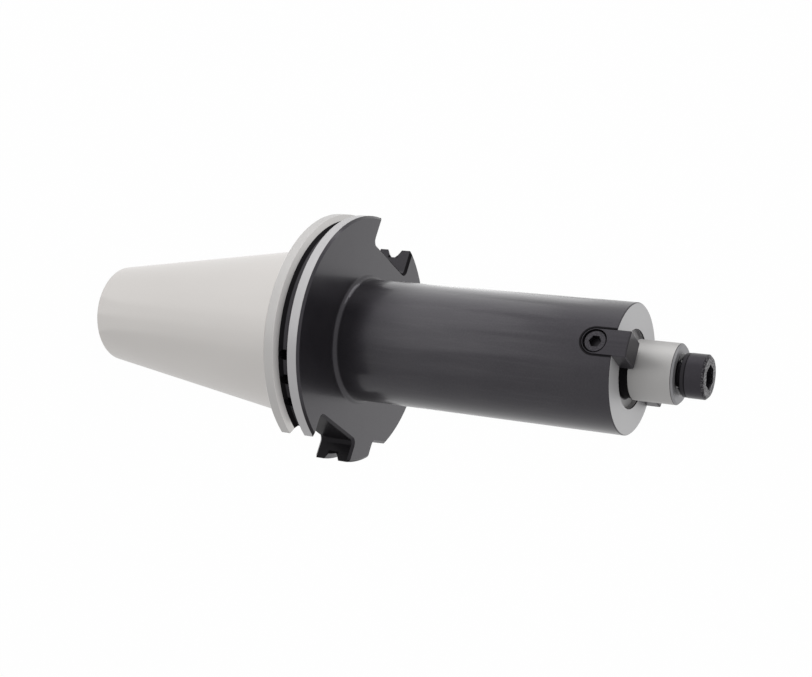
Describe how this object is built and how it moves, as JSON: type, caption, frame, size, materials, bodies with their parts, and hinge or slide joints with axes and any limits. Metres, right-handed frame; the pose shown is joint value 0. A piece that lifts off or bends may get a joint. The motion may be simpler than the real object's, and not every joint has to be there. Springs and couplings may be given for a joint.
{
  "type": "shell mill arbor",
  "caption": "Shell mill arbor with a steep 7:24 taper, flange with gripper groove and drive slots, long extension, pilot, drive keys and clamp screw.",
  "frame": {"origin": "on the arbor's axis at the gauge plane of the 7:24 taper, where its diameter is 69.85 mm", "axes": "+Z along the axis from the taper to the cutter end, +Y and -Y through the flange's drive slots, +X and -X through the drive keys of the cutter end"},
  "size_m": [0.0974, 0.0932, 0.2599],
  "materials": {
    "arbor_steel": "case-hardened steel, ground on the taper, the groove flanks, the rims, the contact face and the pilot, black oxide elsewhere",
    "key_steel": "hardened steel with black oxide",
    "screw_steel": "alloy steel with black oxide",
    "washer_steel": "steel with worn black oxide"
  },
  "bodies": {
    "arbor": {"arbor_body": "arbor_steel", "drive_key_1": "key_steel", "drive_key_2": "key_steel", "key_screw_1": "screw_steel", "key_screw_2": "screw_steel"},
    "washer": {"clamp_washer": "washer_steel"},
    "screw": {"clamp_screw": "screw_steel"}
  },
  "joints": [
    {"name": "clamp_advance", "type": "slide", "parent": "arbor", "child": "washer", "axis": [0, 0, 1], "range_m": [-0.0015, 0.018]},
    {"name": "clamp_turn", "type": "hinge", "parent": "washer", "child": "screw", "pos_m": [0, 0, 0.1511], "axis": [0, 0, 1], "range_deg": [-361, 4321]}
  ],
  "couplings": [
    {"joint": "clamp_turn", "follows": "clamp_advance", "rad_per_m": 4188.8}
  ]
}
